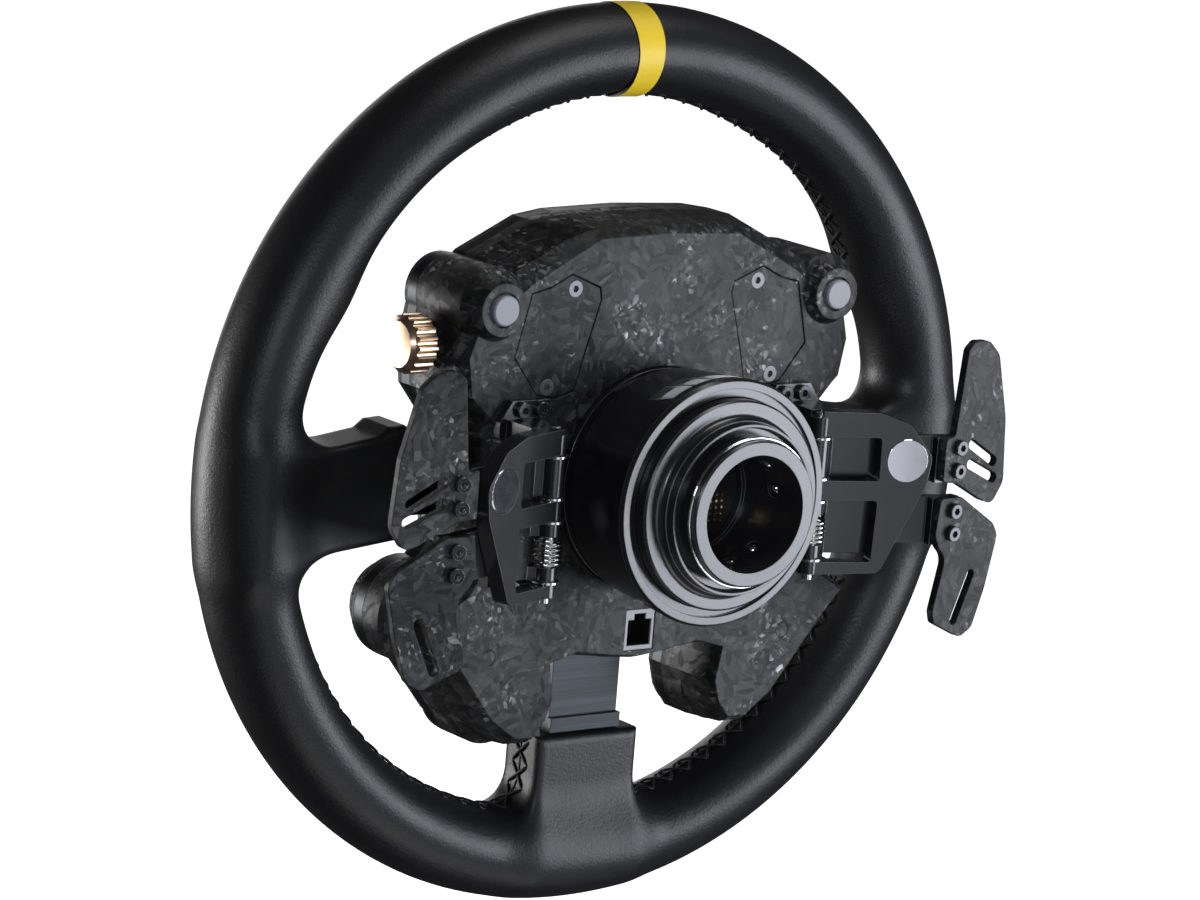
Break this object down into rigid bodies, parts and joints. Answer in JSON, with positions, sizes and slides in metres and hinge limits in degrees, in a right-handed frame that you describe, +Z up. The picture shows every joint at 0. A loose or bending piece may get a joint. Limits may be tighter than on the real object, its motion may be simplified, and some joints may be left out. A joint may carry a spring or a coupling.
{
  "type": "racing wheel",
  "caption": "Round detachable racing wheel with a leather rim, carbon control housing, shift and clutch paddles, buttons, knobs and a quick-release socket.",
  "frame": {"origin": "centre of the mouth of the quick-release socket", "axes": "+Z up at the rim's marker, +Y out of the socket's mouth, away from the driver, +X to the driver's right"},
  "size_m": [0.33, 0.1172, 0.3303],
  "materials": {
    "leather": "fine grain, satin",
    "marker_leather": "smooth",
    "dark_brushed_metal": "brushed, dark anodised",
    "forged_carbon": "forged carbon, satin lacquer",
    "black_anodised": "black anodised",
    "grey_anodised": "grey anodised",
    "steel": "ground",
    "spring_steel": "bright wire",
    "ball_chrome": "polished",
    "contact_gold": "plated",
    "knob_gold": "polished anodised",
    "magnet_grey": "matt",
    "screw_black": "black oxide",
    "screw_grey": "zinc",
    "board_green": "solder mask",
    "component_black": "moulded",
    "button_grey": "matt",
    "button_dark": "matt",
    "ring_black": "gloss",
    "knob_black": "knurled, black anodised",
    "light_lens": "smoked clear"
  },
  "bodies": {
    "wheel": {"rim_grip": "leather", "centre_marker": "marker_leather", "wheel_frame": "dark_brushed_metal", "faceplate": "forged_carbon", "controller_housing": "forged_carbon", "cover_panel_right": "forged_carbon", "cover_panel_left": "forged_carbon", "circuit_board": "board_green", "qr_base": "black_anodised", "qr_nose": "grey_anodised", "qr_socket": "grey_anodised", "qr_balls": "ball_chrome", "qr_spring": "spring_steel", "contact_block": "component_black", "contact_pins": "contact_gold", "data_port": "component_black", "hinge_pins": "steel", "hinge_clips": "steel", "paddle_magnets": "magnet_grey", "paddle_frame_screws": "screw_black", "housing_screws": "screw_grey", "button_rings": "ring_black", "switch_bodies": "component_black", "hub_bolts": "screw_black", "centre_cap": "black_anodised", "rev_light_bar": "light_lens", "paddle_frame_right": "black_anodised", "clutch_spring_right": "spring_steel", "paddle_frame_left": "black_anodised", "clutch_spring_left": "spring_steel"},
    "release_collar": {"qr_collar": "black_anodised", "lock_ring": "steel"},
    "shift_right": {"shift_arm_right": "black_anodised", "shift_blade_right": "forged_carbon", "shift_blade_screws_right": "screw_black"},
    "clutch_right": {"clutch_arm_right": "black_anodised", "clutch_blade_right": "forged_carbon", "clutch_blade_screws_right": "screw_black"},
    "rear_button_body_right": {"rear_button_right": "button_grey"},
    "front_button_body_right_1": {"front_button_right_1": "button_dark"},
    "front_button_body_right_2": {"front_button_right_2": "button_dark"},
    "front_button_body_right_3": {"front_button_right_3": "button_dark"},
    "rotary_knob_body_right": {"rotary_knob_right": "knob_black"},
    "gimbal_right": {"joystick_gimbal_right": "steel"},
    "stick_right": {"joystick_right": "button_dark"},
    "shift_left": {"shift_arm_left": "black_anodised", "shift_blade_left": "forged_carbon", "shift_blade_screws_left": "screw_black"},
    "clutch_left": {"clutch_arm_left": "black_anodised", "clutch_blade_left": "forged_carbon", "clutch_blade_screws_left": "screw_black"},
    "rear_button_body_left": {"rear_button_left": "button_grey"},
    "front_button_body_left_1": {"front_button_left_1": "button_dark"},
    "front_button_body_left_2": {"front_button_left_2": "button_dark"},
    "front_button_body_left_3": {"front_button_left_3": "button_dark"},
    "rotary_knob_body_left": {"rotary_knob_left": "knob_black"},
    "gimbal_left": {"joystick_gimbal_left": "steel"},
    "stick_left": {"joystick_left": "button_dark"},
    "thumb_knob_body": {"thumb_knob": "knob_gold"}
  },
  "joints": [
    {"name": "collar_slide", "type": "slide", "parent": "wheel", "child": "release_collar", "axis": [0, -1, 0], "range_m": [0, 0.0055], "stiffness_N_per_m": 2500, "springref_m": -0.003, "deforming": ["qr_spring"]},
    {"name": "shift_paddle_right", "type": "hinge", "parent": "wheel", "child": "shift_right", "pos_m": [0.0586, -0.0402, 0], "axis": [0, 0, -1], "range_deg": [0, 4.5], "stiffness_Nm_per_rad": 2, "springref_deg": -5.73},
    {"name": "clutch_paddle_right", "type": "hinge", "parent": "wheel", "child": "clutch_right", "pos_m": [0.0586, -0.0402, 0], "axis": [0, 0, -1], "range_deg": [0, 16], "stiffness_Nm_per_rad": 0.9, "springref_deg": -14.32, "deforming": ["clutch_spring_right"]},
    {"name": "rear_button_press_right", "type": "slide", "parent": "wheel", "child": "rear_button_body_right", "axis": [0, -1, 0], "range_m": [0, 0.0013], "stiffness_N_per_m": 900, "springref_m": -0.001},
    {"name": "front_button_press_right_1", "type": "slide", "parent": "wheel", "child": "front_button_body_right_1", "axis": [0, 1, 0], "range_m": [0, 0.0012], "stiffness_N_per_m": 900, "springref_m": -0.001},
    {"name": "front_button_press_right_2", "type": "slide", "parent": "wheel", "child": "front_button_body_right_2", "axis": [0, 1, 0], "range_m": [0, 0.0012], "stiffness_N_per_m": 900, "springref_m": -0.001},
    {"name": "front_button_press_right_3", "type": "slide", "parent": "wheel", "child": "front_button_body_right_3", "axis": [0, 1, 0], "range_m": [0, 0.0012], "stiffness_N_per_m": 900, "springref_m": -0.001},
    {"name": "rotary_knob_turn_right", "type": "hinge", "parent": "wheel", "child": "rotary_knob_body_right", "pos_m": [0.0815, -0.1015, -0.0488], "axis": [0, -1, 0], "continuous": true},
    {"name": "joystick_up_down_right", "type": "hinge", "parent": "wheel", "child": "gimbal_right", "pos_m": [0.0516, -0.094, -0.0816], "axis": [1, 0, 0], "range_deg": [-12, 12], "stiffness_Nm_per_rad": 0.06},
    {"name": "joystick_side_right", "type": "hinge", "parent": "gimbal_right", "child": "stick_right", "pos_m": [0.0516, -0.094, -0.0816], "axis": [0, 0, 1], "range_deg": [-12, 12], "stiffness_Nm_per_rad": 0.06},
    {"name": "shift_paddle_left", "type": "hinge", "parent": "wheel", "child": "shift_left", "pos_m": [-0.0586, -0.0402, 0], "axis": [0, 0, 1], "range_deg": [0, 4.5], "stiffness_Nm_per_rad": 2, "springref_deg": -5.73},
    {"name": "clutch_paddle_left", "type": "hinge", "parent": "wheel", "child": "clutch_left", "pos_m": [-0.0586, -0.0402, 0], "axis": [0, 0, 1], "range_deg": [0, 16], "stiffness_Nm_per_rad": 0.9, "springref_deg": -14.32, "deforming": ["clutch_spring_left"]},
    {"name": "rear_button_press_left", "type": "slide", "parent": "wheel", "child": "rear_button_body_left", "axis": [0, -1, 0], "range_m": [0, 0.0013], "stiffness_N_per_m": 900, "springref_m": -0.001},
    {"name": "front_button_press_left_1", "type": "slide", "parent": "wheel", "child": "front_button_body_left_1", "axis": [0, 1, 0], "range_m": [0, 0.0012], "stiffness_N_per_m": 900, "springref_m": -0.001},
    {"name": "front_button_press_left_2", "type": "slide", "parent": "wheel", "child": "front_button_body_left_2", "axis": [0, 1, 0], "range_m": [0, 0.0012], "stiffness_N_per_m": 900, "springref_m": -0.001},
    {"name": "front_button_press_left_3", "type": "slide", "parent": "wheel", "child": "front_button_body_left_3", "axis": [0, 1, 0], "range_m": [0, 0.0012], "stiffness_N_per_m": 900, "springref_m": -0.001},
    {"name": "rotary_knob_turn_left", "type": "hinge", "parent": "wheel", "child": "rotary_knob_body_left", "pos_m": [-0.0815, -0.1015, -0.0488], "axis": [0, -1, 0], "continuous": true},
    {"name": "joystick_up_down_left", "type": "hinge", "parent": "wheel", "child": "gimbal_left", "pos_m": [-0.0516, -0.094, -0.0816], "axis": [1, 0, 0], "range_deg": [-12, 12], "stiffness_Nm_per_rad": 0.06},
    {"name": "joystick_side_left", "type": "hinge", "parent": "gimbal_left", "child": "stick_left", "pos_m": [-0.0516, -0.094, -0.0816], "axis": [0, 0, 1], "range_deg": [-12, 12], "stiffness_Nm_per_rad": 0.06},
    {"name": "thumb_knob_turn", "type": "hinge", "parent": "wheel", "child": "thumb_knob_body", "pos_m": [0.095, -0.0789, 0.0494], "axis": [1, 0, 0], "continuous": true}
  ]
}
